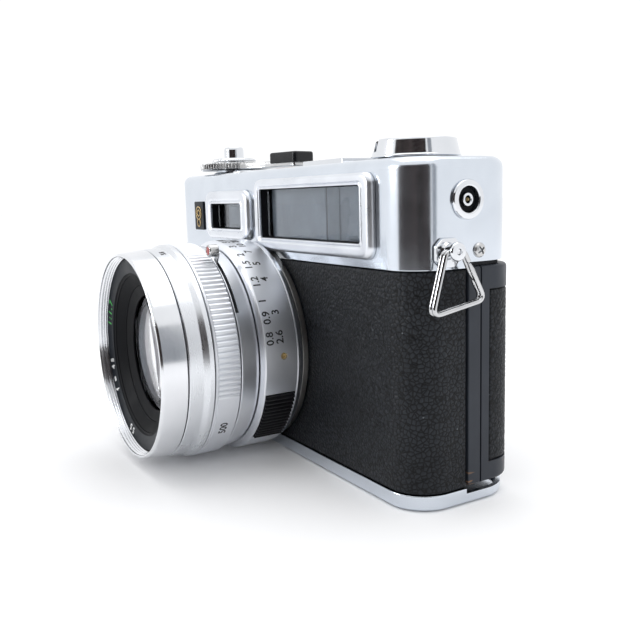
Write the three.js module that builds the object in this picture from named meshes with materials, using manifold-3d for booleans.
// A 35 mm rangefinder camera with a fixed lens, as an assembly of separate pieces.
// Millimetres. +X runs along the body to the rewind end, -Y is the way the lens looks, +Z is up.
import * as THREE from 'three';
import { mergeVertices } from 'three/addons/utils/BufferGeometryUtils.js';
import Module from 'manifold-3d';

const wasm = await Module();
wasm.setup();

// ---------------------------------------------------------------- driving dimensions
const BODY_HALF = 70; // half of the body's width
const CORNER = 9.8; // plan radius of the body's corners
const COVER_BACK = 32; // back of the top cover; its front is y = 0
const DOOR_BACK = 32.8;
const SPLIT = 15.9; // the casting ends here and the back door begins
const LENS_FRONT = -42;
const EYEPIECE_BACK = 35.2;

const BASE_TOP = 3.8; // upper edge of the base plate along the front
const BASE_TOP_AT_DOOR = 2.6;
const COVER_FOOT = 56.6; // lower edge of the top cover along the front
const COVER_FOOT_AT_DOOR = 58;
const COVER_TOP = 82;
const COVER_WALL = 1.2;
const DOOR_FOOT = 4.3;
const DOOR_TOP = 57;
const DOOR_WALL = 1.6;

const GAP = 0.3; // running and seating gap between neighbours
const GLUE = 0.1; // gap under leatherette and other stuck-on skins

const LENS = { x: -5.5, z: 31.3 };
const GATE = { width: 36, height: 24 };
const REWIND = { x: 52.5, y: 14.8 };
const RELEASE = { x: -47.1, y: 13 };
const SPOOL = { x: -50, y: 14.5 };
const SPROCKET = { x: -31, y: 20.6 };
const BATTERY = { x: 26.2, y: 10.6 };
const TRIPOD = { x: -5.5, y: 13 };
const REWIND_RELEASE = { x: -31, y: 12.4 };
const COUNTER = { x: -25, y: 7.4 };
const SHOE = { x: 25, y: 14 };
const HINGE = { x: -69.2, y: 18 };
const FLASH = { y: 15.5, z: 72.2 };
const EYEPIECE = { x: 40, z: 69.3 };
const BATTERY_CHECK = { x: 14, z: 66 };
const EYELET = { x: 72.8, y: 9.2, z: 61 };

const TURN_SEGMENTS = 32; // lens rings
const SMALL_SEGMENTS = 14; // pins, knobs and screws

// ---------------------------------------------------------------- solids
// Drops everything but position, merges shared corners, drops collapsed faces and faces it outward.
function closed(geometry) {
  const bare = geometry.index ? geometry.toNonIndexed() : geometry.clone();
  bare.deleteAttribute('normal');
  bare.deleteAttribute('uv');
  const merged = mergeVertices(bare, 1e-4);
  const corners = merged.index.array;
  const kept = [];
  for (let i = 0; i < corners.length; i += 3) {
    const [a, b, c] = [corners[i], corners[i + 1], corners[i + 2]];
    if (a !== b && b !== c && c !== a) kept.push(a, b, c);
  }
  merged.setIndex(kept);
  if (volume(merged) < 0) {
    for (let i = 0; i < kept.length; i += 3) [kept[i + 1], kept[i + 2]] = [kept[i + 2], kept[i + 1]];
    merged.setIndex(kept);
  }
  return merged;
}

function volume(geometry) {
  const position = geometry.attributes.position;
  const corners = geometry.index.array;
  const [a, b, c] = [new THREE.Vector3(), new THREE.Vector3(), new THREE.Vector3()];
  let total = 0;
  for (let i = 0; i < corners.length; i += 3) {
    a.fromBufferAttribute(position, corners[i]);
    b.fromBufferAttribute(position, corners[i + 1]);
    c.fromBufferAttribute(position, corners[i + 2]);
    total += a.dot(b.cross(c)) / 6;
  }
  return total;
}

function toManifold(geometry) {
  const g = closed(geometry);
  const vertProperties = new Float32Array(g.attributes.position.array);
  const triVerts = new Uint32Array(g.index.array);
  return new wasm.Manifold(new wasm.Mesh({ numProp: 3, vertProperties, triVerts }));
}

function toGeometry(manifold) {
  const mesh = manifold.getMesh();
  const geometry = new THREE.BufferGeometry();
  geometry.setAttribute('position', new THREE.BufferAttribute(new Float32Array(mesh.vertProperties), 3));
  geometry.setIndex(new THREE.BufferAttribute(new Uint32Array(mesh.triVerts), 1));
  return geometry;
}

function cut(base, ...tools) {
  return toGeometry(tools.reduce((rest, tool) => rest.subtract(toManifold(tool)), toManifold(base)));
}

function join(base, ...more) {
  return toGeometry(more.reduce((whole, extra) => whole.add(toManifold(extra)), toManifold(base)));
}

function box(x0, x1, y0, y1, z0, z1) {
  const geometry = new THREE.BoxGeometry(x1 - x0, y1 - y0, z1 - z0);
  return geometry.translate((x0 + x1) / 2, (y0 + y1) / 2, (z0 + z1) / 2);
}

// A turned piece. The profile lists [radius, height] and either ends on the axis or closes on itself.
function turned(profile, segments = TURN_SEGMENTS) {
  const points = profile.map(([r, h]) => new THREE.Vector2(r, h));
  if (profile[0][0] > 0) points.push(points[0].clone());
  return closed(new THREE.LatheGeometry(points, segments));
}
function turnedX(profile, y, z, segments) {
  return turned(profile, segments).rotateZ(-Math.PI / 2).translate(0, y, z);
}

function turnedY(profile, x, z, segments) {
  return turned(profile, segments).translate(x, 0, z);
}

function turnedZ(profile, x, y, segments) {
  return turned(profile, segments).rotateX(Math.PI / 2).translate(x, y, 0);
}

function onLens(profile) {
  return turnedY(profile, LENS.x, LENS.z, TURN_SEGMENTS);
}

const rod = (r, h0, h1) => [[0, h0], [r, h0], [r, h1], [0, h1]];
const tube = (inner, outer, h0, h1) => [[inner, h0], [outer, h0], [outer, h1], [inner, h1]];
const rodX = (r, x0, x1, y, z, n = SMALL_SEGMENTS) => turnedX(rod(r, x0, x1), y, z, n);
const rodY = (r, y0, y1, x, z, n = SMALL_SEGMENTS) => turnedY(rod(r, y0, y1), x, z, n);
const rodZ = (r, z0, z1, x, y, n = SMALL_SEGMENTS) => turnedZ(rod(r, z0, z1), x, y, n);

// Corner points of a rounded rectangle; front and back corners have their own radii.
function outline({ x0, x1, y0, y1, front, back = front, steps = 5 }) {
  const points = [];
  const corners = [[x1 - front, y0 + front, front, -90], [x1 - back, y1 - back, back, 0],
    [x0 + back, y1 - back, back, 90], [x0 + front, y0 + front, front, 180]];
  for (const [cx, cy, r, from] of corners) {
    for (let i = 0; i <= steps; i += 1) {
      const a = THREE.MathUtils.degToRad(from + (90 * i) / steps);
      points.push(new THREE.Vector2(cx + r * Math.cos(a), cy + r * Math.sin(a)));
    }
  }
  return points;
}

function inset(shape, d) {
  const shrink = (r) => Math.max(r - d, 0.05);
  return {
    ...shape,
    x0: shape.x0 + d,
    x1: shape.x1 - d,
    y0: shape.y0 + d,
    y1: shape.y1 - d,
    front: shrink(shape.front),
    back: shrink(shape.back ?? shape.front),
  };
}

// Skins the outlines of one shape, each [inset, height], from the bottom one to the top one.
function lofted(shape, levels) {
  const rings = levels.map(([d, h]) => outline(inset(shape, d)).map((p) => new THREE.Vector3(p.x, p.y, h)));
  const n = rings[0].length;
  const index = [];
  for (let k = 0; k + 1 < rings.length; k += 1) {
    for (let i = 0; i < n; i += 1) {
      const [a, b] = [k * n + i, k * n + ((i + 1) % n)];
      index.push(a, b, b + n, a, b + n, a + n);
    }
  }
  const cap = THREE.ShapeUtils.triangulateShape(outline(inset(shape, levels[0][0])), []);
  const top = (rings.length - 1) * n;
  for (const [a, b, c] of cap) index.push(a, c, b, top + a, top + b, top + c);
  const geometry = new THREE.BufferGeometry().setFromPoints(rings.flat());
  geometry.setIndex(index);
  return closed(geometry);
}
const slab = (shape, z0, z1) => lofted(shape, [[0, z0], [0, z1]]);

// Turns a shape drawn in X and Z with its height towards the viewer: height h ends up at y = -h.
const facingFront = (geometry) => geometry.rotateX(Math.PI / 2);
// Turns a shape drawn in Y and Z with its height along +X.
const facingSide = (geometry) => geometry.applyMatrix4(
  new THREE.Matrix4().set(0, 0, 1, 0, 1, 0, 0, 0, 0, 1, 0, 0, 0, 0, 0, 1));

// ---------------------------------------------------------------- finishes
function finish(color, roughness, metalness) {
  return new THREE.MeshStandardMaterial({ color, roughness, metalness });
}

const CHROME = finish(0xd4d7dc, 0.22, 1);
const SATIN = finish(0xc9ccd0, 0.38, 1);
const ALUMINIUM = finish(0xd0d1d3, 0.42, 1);
const STEEL = finish(0x9a9da1, 0.35, 1);
const LEATHERETTE = finish(0x1c1d20, 0.62, 0);
const BLACK_PAINT = finish(0x23262d, 0.42, 0.2);
const BLACK_PLASTIC = finish(0x111114, 0.35, 0);
const MATT_BLACK = finish(0x0b0b0c, 0.8, 0);
const GLASS = finish(0x5c6672, 0.06, 0);
const BRASS = finish(0xa88a52, 0.4, 1);

const camera = new THREE.Group();
camera.name = 'rangefinder_camera';
// The origin lies on the ground, under the middle of the whole camera.
camera.position.y = -(LENS_FRONT + EYEPIECE_BACK) / 2;

function add(name, geometry, material) {
  const mesh = new THREE.Mesh(geometry, material);
  mesh.name = name;
  mesh.geometry.computeVertexNormals();
  camera.add(mesh);
}

// ---------------------------------------------------------------- body
const BODY_PLAN = { x0: -BODY_HALF, x1: BODY_HALF, y0: 0, y1: COVER_BACK, front: CORNER };
const SKIN = { outer: 0.2, inner: 0.8 }; // how deep the leatherette lies inside the cover's outline
const CASTING_INSET = SKIN.inner + GLUE;
const CHAMBER = { z0: 6.8, z1: 54.2 };
const FILM_BLOCK = { x: 65.5, y: 26.4, z0: 5.7, z1: 55.3 };

function bodyCasting() {
  const plan = { ...BODY_PLAN, y1: 40 };
  const block = slab(inset(plan, CASTING_INSET), BASE_TOP + GAP, COVER_FOOT - GAP);
  const front = cut(block, box(-80, 80, SPLIT, 60, -1, 60));
  const film = box(-FILM_BLOCK.x, FILM_BLOCK.x, SPLIT - 1, FILM_BLOCK.y, FILM_BLOCK.z0, FILM_BLOCK.z1);
  const rails = [[15.2, 17.2], [45.4, 47.4]].map(([z0, z1]) => box(-38, 39, 24.9, FILM_BLOCK.y + 0.5, z0, z1));
  const [halfWidth, halfHeight] = [GATE.width / 2, GATE.height / 2];
  const gate = box(LENS.x - halfWidth, LENS.x + halfWidth, 6, 40, LENS.z - halfHeight, LENS.z + halfHeight);
  const chambers = [
    rodZ(12.8, CHAMBER.z0, CHAMBER.z1, REWIND.x, REWIND.y, 20),
    box(REWIND.x - 12.6, REWIND.x + 11.6, REWIND.y, 40, CHAMBER.z0, CHAMBER.z1),
    rodZ(13, CHAMBER.z0, CHAMBER.z1, SPOOL.x, SPOOL.y, 20),
    box(SPOOL.x - 12.8, -25, SPOOL.y, 40, CHAMBER.z0, CHAMBER.z1),
    rodZ(6.7, CHAMBER.z0, CHAMBER.z1, SPROCKET.x, SPROCKET.y, 16),
  ];
  const holes = [
    rodY(16.5, -1, 7, LENS.x, LENS.z, 24), // throat behind the lens
    rodZ(8.9, 0, 50, BATTERY.x, BATTERY.y, 20), // battery well
    rodZ(10, 0, 5.6, BATTERY.x, BATTERY.y, 20), // seat of its cap
    rodZ(4.8, 0, 9.4, TRIPOD.x, TRIPOD.y),
    rodZ(2.9, 0, 7.6, REWIND_RELEASE.x, REWIND_RELEASE.y),
    rodZ(2.9, 50, 60, REWIND.x, REWIND.y), // rewind shaft
    rodZ(2.3, 50, 60, SPOOL.x, SPOOL.y), // spool shaft
    rodZ(2.3, 50, 60, SPROCKET.x, SPROCKET.y),
  ];
  return cut(join(front, film, ...rails), gate, ...chambers, ...holes);
}

function frontLeatherette() {
  const plan = { ...BODY_PLAN, y1: 40 };
  const [z0, z1] = [BASE_TOP + GAP, COVER_FOOT - GAP];
  const outer = slab(inset(plan, SKIN.outer), z0, z1);
  const inner = slab(inset(plan, SKIN.inner), z0 - 1, z1 + 1);
  return cut(outer, inner, box(-80, 80, SPLIT - GAP, 60, -1, 60), rodY(20, -5, 5, LENS.x, LENS.z, 24));
}

const VF = { x0: 0.35, x1: 52.1, z0: 62.4, z1: 76.2 }; // viewfinder opening
const VF_FRAME = { x0: -3.5, x1: 56.4, z0: 58.7, z1: 79.1 };
const RF = { x0: -35.4, x1: -12.9, z0: 64.4, z1: 72.3 }; // rangefinder opening
const RF_FRAME = { x0: -40.5, x1: -7.9, z0: 61, z1: 76.4 };
const BADGE = { x0: -52.4, x1: -44.9, z0: 63.5, z1: 73.1 };
const LAMPS = { x0: -6, x1: 8, y0: 5.4, y1: 9.4 };
const SHOE_HALF = 10.1;
const NECK = { inner: 3.9, outer: 6.2, top: 86 };

// A rectangle in X and Z round a point.
function around({ x, z }, halfWidth, halfHeight) {
  return { x0: x - halfWidth, x1: x + halfWidth, z0: z - halfHeight, z1: z + halfHeight };
}

// An opening in the front face, grown by a margin, between two depths.
function frontOpening(r, grow, y0, y1, corner = 1) {
  const plan = { x0: r.x0, x1: r.x1, y0: r.z0, y1: r.z1, front: corner - grow, steps: 3 };
  return facingFront(lofted(inset(plan, -grow), [[0, -y1], [0, -y0]]));
}

function topCover() {
  const shell = lofted(BODY_PLAN, [[0, COVER_FOOT], [0, 79.3], [0.35, 80.6], [1.1, 81.5], [2.7, COVER_TOP]]);
  const inside = slab(inset(BODY_PLAN, COVER_WALL), COVER_FOOT - 1, COVER_TOP - COVER_WALL);
  const neck = rodZ(NECK.outer, COVER_TOP - 1, NECK.top, RELEASE.x, RELEASE.y, 20);
  const tools = [
    inside,
    box(-80, 80, SPLIT, 40, 50, COVER_FOOT_AT_DOOR),
    frontOpening(VF, 1.5, -3, 4), frontOpening(RF, 1.5, -3, 4), frontOpening(BADGE, -1, -3, 4, 0.5),
    rodZ(4.3, 75, 90, REWIND.x, REWIND.y, 24),
    rodZ(4.2, 75, 90, COUNTER.x, COUNTER.y, 24),
    box(LAMPS.x0, LAMPS.x1, LAMPS.y0, LAMPS.y1, 75, 90),
    box(SHOE.x - SHOE_HALF - GAP, SHOE.x + SHOE_HALF + GAP, 4.5, 40, 79.3, 90),
    turnedX(rod(3.9, 60, 80), FLASH.y, FLASH.z, SMALL_SEGMENTS),
    rodX(1.7, -80, 80, EYELET.y, EYELET.z),
    frontOpening(around(EYEPIECE, 7, 5.2), 0, 20, 40, 0.6),
    rodY(2.6, 20, 40, BATTERY_CHECK.x, BATTERY_CHECK.z),
  ];
  const shaped = cut(shell, ...tools);
  return cut(join(shaped, neck), rodZ(NECK.inner, 70, 95, RELEASE.x, RELEASE.y, 20));
}

function basePlate() {
  const shell = lofted(BODY_PLAN, [[1.1, 0], [0.3, 0.35], [0, 1.1], [0, BASE_TOP]]);
  const tools = [
    slab(inset(BODY_PLAN, COVER_WALL), 1.4, 10),
    box(-80, 80, SPLIT - GAP, 40, BASE_TOP_AT_DOOR, 10),
    rodZ(9.9, -2, 4, BATTERY.x, BATTERY.y, 20),
    rodZ(4.7, -2, 4, TRIPOD.x, TRIPOD.y),
    rodZ(2.8, -2, 4, REWIND_RELEASE.x, REWIND_RELEASE.y),
  ];
  return cut(shell, ...tools);
}

function buildBody() {
  add('body_casting', bodyCasting(), MATT_BLACK);
  add('front_leatherette', frontLeatherette(), LEATHERETTE);
  add('top_cover', topCover(), SATIN);
  add('base_plate', basePlate(), SATIN);
}

// ---------------------------------------------------------------- windows and finder
// A raised bezel round an opening, with a sleeve that goes through the cover.
function windowFrame(frame, opening, corner) {
  const plan = { x0: frame.x0, x1: frame.x1, y0: frame.z0, y1: frame.z1, front: corner, steps: 4 };
  const bezel = facingFront(lofted(plan, [[0, GLUE], [0, 0.9], [0.5, 1.6], [1.6, 2]]));
  const sleeve = frontOpening(opening, 1.2, 0.05, 3.2);
  return cut(join(bezel, sleeve, frontOpening(opening, 1.2, -1, 1)), frontOpening(opening, 0, -5, 6));
}

function buildFinder() {
  add('viewfinder_frame', windowFrame(VF_FRAME, VF, 3.2), CHROME);
  add('viewfinder_window', frontOpening(VF, -GAP, 0.2, 1.6, 0.7), GLASS);
  add('rangefinder_frame', windowFrame(RF_FRAME, RF, 4), CHROME);
  add('rangefinder_window', frontOpening(RF, -GAP, 0.2, 1.6, 0.7), GLASS);
  const badge = join(frontOpening(BADGE, 0, -0.5, -GLUE, 0.4), frontOpening(BADGE, -1.3, -0.2, 2, 0.4));
  add('badge_plate', badge, BLACK_PLASTIC);

  const tunnel = { x0: 31, x1: 48.2, y0: 3.6, y1: 30.2, z0: 60, z1: 78.6 };
  const outer = box(tunnel.x0, tunnel.x1, tunnel.y0, tunnel.y1, tunnel.z0, tunnel.z1);
  const bore = box(tunnel.x0 + 1, tunnel.x1 - 1, 0, 40, tunnel.z0 + 1, tunnel.z1 - 1);
  const port = box(tunnel.x0 - 1, tunnel.x0 + 2, 9, 19, 64, 74); // lets the rangefinder's beam in
  add('finder_tunnel', cut(outer, bore, port), MATT_BLACK);

  const splitter = box(-9, 9, -0.6, 0.6, 62, 76.4).rotateZ(Math.PI / 4).translate(39.6, 14, 0);
  add('beam_splitter', splitter, GLASS);
  const mirror = box(-5.5, 5.5, -0.6, 0.6, 63.4, 73.4).rotateZ(Math.PI / 4).translate(-24, 14, 0);
  add('rangefinder_mirror', mirror, CHROME);
}

function buildEyepiece() {
  const rimPlan = { x0: EYEPIECE.x - 9, x1: EYEPIECE.x + 9, y0: EYEPIECE.z - 7, y1: EYEPIECE.z + 7 };
  const plan = { ...rimPlan, front: 3, steps: 4 };
  const rim = facingFront(lofted(plan, [[1, -EYEPIECE_BACK], [0, -34.5], [0, -COVER_BACK - GLUE]]));
  const neck = facingFront(lofted(inset(plan, 2.3), [[0, -32.7], [0, -30.6]]));
  const sight = around(EYEPIECE, 5.4, 3.6);
  add('eyepiece_frame', cut(join(rim, neck), frontOpening(sight, 0, 20, 40)), BLACK_PLASTIC);
  add('eyepiece_lens', frontOpening(sight, -GAP, 31.1, 32.9, 0.8), GLASS);

  const button = [[0, 29.1], [3.2, 29.1], [3.2, 30.1], [2.3, 30.3], [2.3, 33.7], [1.8, 34.1], [0, 34.1]];
  const { x, z } = BATTERY_CHECK;
  add('battery_check_button', turnedY(button, x, z, SMALL_SEGMENTS), BLACK_PLASTIC);
}

// ---------------------------------------------------------------- top plate fittings
function hotShoe() {
  const [x0, x1] = [SHOE.x - SHOE_HALF, SHOE.x + SHOE_HALF];
  const tray = box(x0, x1, 4.8, 31.3, 79.6, 83.3);
  const channel = box(SHOE.x - 9.3, SHOE.x + 9.3, 5.8, 40, 80.5, 82.55);
  const mouth = box(SHOE.x - 6.6, SHOE.x + 6.6, 5.8, 40, 82, 90);
  return cut(tray, channel, mouth, rodZ(3, 70, 81, SHOE.x, SHOE.y));
}

function buildTopFittings() {
  add('hot_shoe', hotShoe(), CHROME);
  const contact = [[0, 78.6], [2.7, 78.6], [2.7, 80.6], [1.2, 80.6], [1.2, 80.9], [0, 80.9]];
  add('hot_shoe_contact', turnedZ(contact, SHOE.x, SHOE.y, SMALL_SEGMENTS), BLACK_PLASTIC);
  const [lampsX, lampsY] = [[LAMPS.x0 + GAP, LAMPS.x1 - GAP], [LAMPS.y0 + GAP, LAMPS.y1 - GAP]];
  add('exposure_lamps', box(...lampsX, ...lampsY, 79, 82.1), BLACK_PLASTIC);
  add('frame_counter_window', rodZ(3.9, 80.9, 82.2, COUNTER.x, COUNTER.y, 24), GLASS);
  add('frame_counter_dial', rodZ(6.2, 79.2, 80.2, COUNTER.x, COUNTER.y, 24), MATT_BLACK);
}

// ---------------------------------------------------------------- end fittings
function strapLug(side) {
  const plan = { x0: 5.9, x1: 13.2, y0: 57.2, y1: 63.9, front: 1.6, steps: 1 };
  const plate = facingSide(lofted(plan, [[0, BODY_HALF + GLUE], [0, 70.8], [0.3, 71]]));
  const post = turnedX([[0, 68], [1.4, 68], [1.4, 70.5], [1.75, 70.8], [1.75, 74.5], [1.4, 74.8], [0, 74.8]],
    EYELET.y, EYELET.z, SMALL_SEGMENTS);
  const lug = cut(join(plate, post), rodY(1.25, 0, 20, EYELET.x, EYELET.z));
  return side > 0 ? lug : mirrored(lug);
}

function mirrored(geometry) {
  return closed(geometry.clone().scale(-1, 1, 1));
}

// The hanging ring: an open loop of wire through the eyelet, its two ends facing each other.
// It leans back at the rewind end and forward at the hinge end, out of the door's way.
function strapRing(side) {
  const lean = side > 0 ? 1 : -1;
  const corner = ([dy, z]) => new THREE.Vector3(0, EYELET.y + lean * dy, z);
  const corners = [[2.5, EYELET.z], [-2.5, EYELET.z], [-6, 48.8], [8.3, 50.4]].map(corner);
  const bends = [1.1, 1.1, 2.4, 2.2];
  const towards = (a, b, d) => a.clone().add(b.clone().sub(a).setLength(d));
  const split = towards(corners[3], corners[0], 5.4);
  const path = new THREE.CurvePath();
  let from = towards(corners[3], corners[0], 5.9);
  corners.forEach((at, k) => {
    const enter = towards(at, k === 0 ? from : corners[k - 1], bends[k]);
    const leave = towards(at, corners[(k + 1) % 4], bends[k]);
    path.add(new THREE.LineCurve3(from, enter));
    path.add(new THREE.QuadraticBezierCurve3(enter, at, leave));
    from = leave;
  });
  path.add(new THREE.LineCurve3(from, split));
  const wire = new THREE.Shape();
  wire.absellipse(0, 0, 1.1, 0.6, 0, Math.PI * 2);
  const sweep = { extrudePath: path, steps: 34, curveSegments: 4, bevelEnabled: false };
  return new THREE.ExtrudeGeometry(wire, sweep).translate(side * EYELET.x, 0, 0);
}

function buildEnds() {
  const socket = [[3, 66], [3.6, 66], [3.6, 70.1], [4.45, 70.1], [4.45, 70.7], [4.1, 70.95], [3, 70.95]];
  add('flash_socket', turnedX(socket, FLASH.y, FLASH.z, 16), CHROME);
  const contact = [
    [0, 66], [2.7, 66], [2.7, 67.5], [1.5, 67.5], [1.5, 70.5], [0.6, 70.5], [0.6, 68], [0, 68],
  ];
  add('flash_socket_contact', turnedX(contact, FLASH.y, FLASH.z, SMALL_SEGMENTS), BRASS);
  for (const [label, side] of [['left', -1], ['right', 1]]) {
    add(`strap_lug_${label}`, strapLug(side), CHROME);
    add(`strap_ring_${label}`, strapRing(side), CHROME);
  }
}

// ---------------------------------------------------------------- film advance and release
const HUB = { inner: 6.5, outer: 11.7, z0: 83.3, z1: 85.9 };

function advanceLever() {
  const hub = turnedZ(tube(HUB.inner, HUB.outer, HUB.z0, HUB.z1), 0, 0, 24);
  const arm = new THREE.Shape([[7, -7], [20, -3.2], [34.5, -3], [34.5, 2.6], [20, 4], [6, 8.5]]
    .map(([x, y]) => new THREE.Vector2(x, y)));
  const blade = new THREE.ExtrudeGeometry(arm, { depth: 1.9, bevelEnabled: false });
  return join(hub, blade.translate(0, 0, HUB.z0 + 0.2));
}

const LEVER_ANGLE = THREE.MathUtils.degToRad(13);
const onLever = (geometry) => geometry.rotateZ(LEVER_ANGLE).translate(RELEASE.x, RELEASE.y, 0);

function buildAdvance() {
  add('advance_lever', onLever(advanceLever()), CHROME);
  const tip = { x0: 23.4, x1: 36.2, y0: -4.3, y1: 4.2, front: 1.2, steps: 3 };
  const grip = lofted(tip, [[0, 84.6], [0, 87.4], [0.5, 88]]);
  const slot = box(10, 34.8, -3.3, 4.6, 80, 85.7);
  add('advance_lever_tip', onLever(cut(grip, slot)), BLACK_PLASTIC);
  add('lock_collar', turnedZ([[NECK.inner, 86.3], [7.4, 86.3], [7.5, 86.8], [6.6, 87.5], [NECK.inner, 87.5]],
    RELEASE.x, RELEASE.y, 20), CHROME);
  const button = [
    [0, 76], [1.8, 76], [1.8, 83.4], [3.4, 83.8], [3.4, 90.6], [3, 91.3], [1.6, 91], [0.9, 88.6], [0, 88.6],
  ];
  add('release_button', turnedZ(button, RELEASE.x, RELEASE.y, 16), CHROME);
}

function sprocketDrum() {
  const profile = [
    [0, 8], [5, 8], [5, 16.6], [4, 17.6], [4, 44.6], [5, 45.6], [5, 53.4], [1.9, 53.4], [1.9, 55.6], [0, 55.6],
  ];
  const drum = turnedZ(profile, 0, 0, 16);
  const teeth = [];
  for (let i = 0; i < 8; i += 1) {
    for (const z of [13.2, 49.2]) {
      teeth.push(box(4.5, 5.9, -0.5, 0.5, z - 0.7, z + 0.7).rotateZ((i * Math.PI) / 4 + Math.PI / 8));
    }
  }
  return join(drum, ...teeth).translate(SPROCKET.x, SPROCKET.y, 0);
}

function takeUpSpool() {
  const profile = [
    [0, 7.4], [9.5, 7.4], [9.5, 8.6], [7, 8.6], [7, 52], [9.5, 52], [9.5, 53.4], [1.9, 53.4], [1.9, 55.6],
    [0, 55.6],
  ];
  const slots = [0, 1, 2].map((k) => box(4, 8, -0.9, 0.9, 20, 42).rotateZ((k * Math.PI * 2) / 3));
  return cut(turnedZ(profile, 0, 0, 20), ...slots).translate(SPOOL.x, SPOOL.y, 0);
}

function buildTransport() {
  add('take_up_spool', takeUpSpool(), BLACK_PLASTIC);
  add('sprocket', sprocketDrum(), STEEL);
}

// ---------------------------------------------------------------- rewind
const KNOB = { z0: 82.3, z1: 86.8, bottom: 10.9, top: 9.85, slotHalf: 3.4, slotFloor: 83.8 };
const CRANK = { pivot: -6.2, handle: 5.8, z: 86, z0: 85.5, z1: 86.7, half: 2.9 };
const KNOB_TURN = THREE.MathUtils.degToRad(-120); // where the crank's slot points at rest
const FORK = { half: 2.5, z0: 49.6, z1: 53 }; // turns the cassette's spool; it lifts up into the shaft's hole

function buildRewind() {
  const { x, y } = REWIND;
  add('rewind_sleeve', turnedZ(tube(2.7, 3.9, 62, 81.9), x, y, SMALL_SEGMENTS), STEEL);

  const profile = [
    [0, KNOB.z0], [KNOB.bottom, KNOB.z0], [KNOB.bottom, 82.8], [KNOB.top + 0.2, 86.2], [KNOB.top - 0.4, KNOB.z1],
    [0, KNOB.z1],
  ];
  const slot = box(-12, 12, -KNOB.slotHalf, KNOB.slotHalf, KNOB.slotFloor, 90);
  const pocket = rodZ(3, 82.9, 90, CRANK.handle, 0);
  const knob = cut(turnedZ(profile, 0, 0, 28), slot, pocket, rodZ(2.1, 80, 83.1, 0, 0));
  const turnedIntoPlace = (geometry) => geometry.rotateZ(KNOB_TURN).translate(x, y, 0);
  add('rewind_knob', turnedIntoPlace(knob), CHROME);

  const fork = box(-FORK.half, FORK.half, -0.7, 0.7, FORK.z0, FORK.z1);
  const shaft = join(rodZ(2.4, 52.6, 82, 0, 0), rodZ(1.8, 81, 82.9, 0, 0), fork);
  add('rewind_shaft', shaft.translate(x, y, 0), STEEL);

  const bar = box(CRANK.pivot, CRANK.handle, -CRANK.half, CRANK.half, CRANK.z0, CRANK.z1);
  const eye = rodZ(CRANK.half, CRANK.z0, CRANK.z1, CRANK.handle, 0);
  const knuckle = rodY(0.95, -CRANK.half, CRANK.half, CRANK.pivot, CRANK.z, 12);
  add('rewind_crank', turnedIntoPlace(join(bar, eye, knuckle)), CHROME);
  const handle = [[0, 83.2], [2.1, 83.2], [2.4, 83.6], [2.4, 84.9], [0, 84.9]];
  add('crank_handle', turnedIntoPlace(turnedZ(handle, CRANK.handle, 0, SMALL_SEGMENTS)), BLACK_PLASTIC);
}

// ---------------------------------------------------------------- back door
const DOOR_PLAN = { x0: -69.9, x1: 69.9, y0: SPLIT + GAP, y1: DOOR_BACK, front: 0.2, back: 8.5 };
const PANEL = { y: 22.6, z0: 9.2, z1: 51.4, depth: 0.7 }; // recess for the door's leatherette

function backDoor() {
  const cavityPlan = { ...inset(DOOR_PLAN, DOOR_WALL), y0: 10 };
  const shell = cut(slab(DOOR_PLAN, DOOR_FOOT, DOOR_TOP), slab(cavityPlan, DOOR_FOOT + 1, DOOR_TOP - 1.2));
  // The door's top and bottom reach in as far as the sprocket's shaft.
  const flanges = box(-66, 66, 0, 24, 0, 60);
  const recess = cut(box(-75, 75, PANEL.y, 35, PANEL.z0, PANEL.z1), slab(inset(DOOR_PLAN, PANEL.depth), 0, 60));
  const barrel = rodZ(1.9, DOOR_FOOT, DOOR_TOP, HINGE.x, HINGE.y, SMALL_SEGMENTS);
  return cut(join(cut(shell, recess, flanges), barrel), rodZ(1.1, 0, 60, HINGE.x, HINGE.y, 16));
}

function doorLeatherette() {
  const [z0, z1] = [PANEL.z0 + GAP, PANEL.z1 - GAP];
  const skin = slab(DOOR_PLAN, z0, z1);
  return cut(skin, slab(inset(DOOR_PLAN, PANEL.depth - GLUE), 0, 60), box(-75, 75, 0, PANEL.y + GAP, 0, 60));
}

function buildDoor() {
  add('back_door', backDoor(), BLACK_PAINT);
  add('door_leatherette', doorLeatherette(), LEATHERETTE);
  const plate = { x0: -31, x1: 20, z0: 12.5, z1: 50.1 };
  add('pressure_plate', frontOpening(plate, 0, 27.4, 28.8, 2), STEEL);
  add('door_hinge_pin', rodZ(0.8, 2.9, 57.7, HINGE.x, HINGE.y, 12), STEEL);
  const notches = [18, 42].map((z) => box(60, 70, 19.2, 25, z, z + 4));
  add('door_latch', cut(box(66.1, 67.5, 16.6, 20.5, 12, 52), ...notches), STEEL);
}

// ---------------------------------------------------------------- underside
function buildUnderside() {
  const socket = [[3.2, 0], [4.4, 0], [4.4, 9], [0, 9], [0, 7.6], [3.2, 7.6], [3.2, 0]];
  add('tripod_socket', turnedZ(socket, TRIPOD.x, TRIPOD.y, SMALL_SEGMENTS), STEEL);
  const cap = turnedZ([[0, 0.3], [9.6, 0.3], [9.6, 1.9], [8.7, 2.2], [8.7, 4.9], [0, 4.9]], 0, 0, 20);
  const coinSlot = box(-6.5, 6.5, -0.9, 0.9, -1, 1.4);
  add('battery_cap', cut(cap, coinSlot).translate(BATTERY.x, BATTERY.y, 0), STEEL);
  const battery = [[0, 5.2], [8.3, 5.2], [8.3, 47.4], [3, 47.6], [3, 49], [0, 49]];
  add('battery', turnedZ(battery, BATTERY.x, BATTERY.y, 20), BRASS);
  const { x, y } = REWIND_RELEASE;
  add('rewind_release_button', rodZ(2.4, 0.4, 5.6, x, y), STEEL);
}

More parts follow.
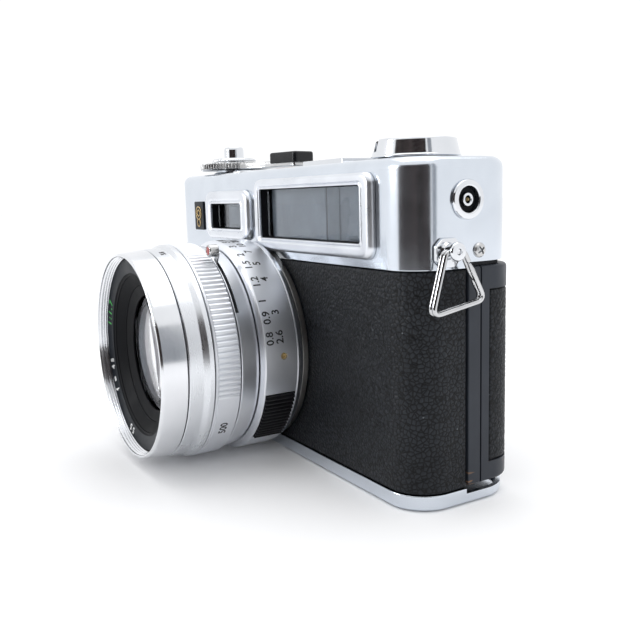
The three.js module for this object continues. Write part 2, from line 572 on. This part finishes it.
// ---------------------------------------------------------------- lens
// Radii and depths of the rings, front to back; the lens unit slides out as the focus ring turns.
const CORE_OUTER = 26; // tube that carries the front rings
const TIMER = { slotFrom: 22, slotTo: 68, rest: 60, y0: -20.6, y1: -19.4 }; // degrees and depths

function shutterHousing() {
  const outside = [[CORE_OUTER, -38], [CORE_OUTER, -20.6], [29.8, -20.6], [29.1, -16], [28.8, -15.1]];
  const rear = [[21.9, -15.1], [21.9, -0.5], [20.2, -0.5], [20.2, -16.6]];
  const shelf = [[12.6, -16.6], [12.6, -17.6], [20.6, -17.6], [20.6, -25], [24, -25], [24, -38]];
  return onLens([...outside, ...rear, ...shelf]);
}

// Clears the sector of the housing in which the self-timer lever travels.
function timerSlot() {
  const wedge = ringSector(TIMER.slotFrom, TIMER.slotTo, CORE_OUTER + 0.4, 34, TIMER.y0, TIMER.y1);
  return wedge.translate(LENS.x, 0, LENS.z);
}

function polar(geometry, degrees) {
  return geometry.rotateY(THREE.MathUtils.degToRad(-degrees)).translate(LENS.x, 0, LENS.z);
}

function selfTimerLever() {
  const stem = box(27, 33, -20.35, -19.75, -1, 1);
  const profile = [[0, 32.6], [2.3, 32.6], [2.3, 35.4], [0, 35.4]];
  const knob = turned(profile, 16).rotateZ(-Math.PI / 2).translate(0, -20.9, 0);
  return polar(join(stem, knob), TIMER.rest);
}

const BLADE_ARC = { inner: 11.4, outer: 18.6, from: -7, to: 62 };
const BLADE_PIVOT = 16.4;
const BLADE_STUDS = [0, 120, 240];
const BLADE_SWING = THREE.MathUtils.degToRad(55);

// One leaf is an annular sector when open; turned about its stud it covers the aperture.
function shutterBlade(k) {
  const leaf = new THREE.Shape();
  const [a, b] = [BLADE_ARC.from, BLADE_ARC.to].map(THREE.MathUtils.degToRad);
  leaf.absarc(0, 0, BLADE_ARC.outer, a, b, false);
  leaf.absarc(0, 0, BLADE_ARC.inner, b, a, true);
  const hole = new THREE.Path();
  hole.absarc(BLADE_PIVOT, 0, 1, 0, Math.PI * 2, true);
  leaf.holes.push(hole);
  const flat = new THREE.ExtrudeGeometry(leaf, { depth: 0.25, bevelEnabled: false, curveSegments: 8 });
  flat.translate(-BLADE_PIVOT, 0, 0).rotateZ(BLADE_SWING).translate(BLADE_PIVOT, 0, 0);
  return polar(flat.rotateX(Math.PI / 2).translate(0, -18 - 0.55 * k, 0), BLADE_STUDS[k]);
}

// The black grip is let into the focus ring, low on the rewind side.
const GRIP = { from: -51, to: -19, y0: -13.4, y1: -4.8, inner: 29.2, outer: 30.9 };

function ringSector(from, to, inner, outer, y0, y1) {
  const [a, b] = [from, to].map(THREE.MathUtils.degToRad);
  const sector = new THREE.Shape();
  sector.absarc(0, 0, outer, a, b, false);
  sector.absarc(0, 0, inner, b, a, true);
  const extrusion = { depth: y1 - y0, bevelEnabled: false, curveSegments: 10 };
  return new THREE.ExtrudeGeometry(sector, extrusion).rotateX(Math.PI / 2).translate(0, y1, 0);
}

function focusGrip() {
  const grip = ringSector(GRIP.from, GRIP.to, GRIP.inner, GRIP.outer, GRIP.y0, GRIP.y1);
  return grip.translate(LENS.x, 0, LENS.z);
}

function gripRecess() {
  const [from, to] = [GRIP.from - 0.6, GRIP.to + 0.6];
  const pocket = ringSector(from, to, GRIP.inner - GAP, 33, GRIP.y0 - GAP, GRIP.y1 + GAP);
  return pocket.translate(LENS.x, 0, LENS.z);
}

function buildFocusing() {
  const mount = [[22.4, -0.15], [27.2, -0.15], [27.2, -1.9], [24.4, -1.9], [24.4, -13.4], [22.4, -13.4]];
  add('lens_mount', onLens(mount), ALUMINIUM);
  const ring = [[24.8, -2.3], [29.6, -2.3], [30.6, -4.3], [30.6, -14.1], [28.9, -14.8], [24.8, -14.8]];
  const screwHole = polar(box(28.9, 32, -9.4, -7.4, -1, 1), 1);
  add('focus_ring', cut(onLens(ring), gripRecess(), screwHole), ALUMINIUM);
  add('focus_grip', focusGrip(), BLACK_PLASTIC);
}

function buildShutter() {
  const stud = () => rodY(0.6, -3.6, 0, 0, 0, 10).translate(BLADE_PIVOT, -17, 0);
  const studs = BLADE_STUDS.map((a) => polar(stud(), a));
  add('shutter_housing', join(cut(shutterHousing(), timerSlot()), ...studs), ALUMINIUM);
  for (let k = 0; k < BLADE_STUDS.length; k += 1) {
    add(`shutter_blade_${k + 1}`, shutterBlade(k), MATT_BLACK);
  }
  add('self_timer_lever', selfTimerLever(), CHROME);
}

function buildFrontRings() {
  const aperture = [[26.4, -28.3], [30.2, -28.3], [29.4, -31], [29.2, -34.8], [26.4, -34.8]];
  add('aperture_ring', onLens(aperture), ALUMINIUM);
  const selector = [[26.4, -20.9], [30.1, -20.9], [30.35, -21.3], [30.35, -28], [26.4, -28]];
  add('selector_ring', onLens(selector), ALUMINIUM);
  const bezel = [
    [26.3, -35.1], [29.2, -35.1], [28.5, -41.6], [28.3, LENS_FRONT], [27.5, LENS_FRONT], [27.3, -38.6],
    [26.3, -38.3],
  ];
  add('front_bezel', onLens(bezel), CHROME);
  const cone = [
    [17.4, -33.6], [23.6, -33.6], [23.6, -38.3], [26, -38.3], [27, -38.8], [27, -39.4], [22.4, -39],
    [20.8, -36.4], [17.4, -35.2],
  ];
  add('name_ring', onLens(cone), MATT_BLACK);
}

function buildGlass() {
  add('front_element', onLens([[0, -33.8], [17, -32.6], [20.5, -32.6], [20.5, -30], [0, -28.5]]), GLASS);
  const rear = [[0, -7], [13, -6.2], [19.8, -6.2], [19.8, -3], [13, -3], [0, -1.6]];
  add('rear_element', onLens(rear), GLASS);
}

buildBody();
buildFinder();
buildEyepiece();
buildTopFittings();
buildEnds();
buildAdvance();
buildTransport();
buildRewind();
buildDoor();
buildUnderside();
buildFocusing();
buildShutter();
buildFrontRings();
buildGlass();

export default camera;
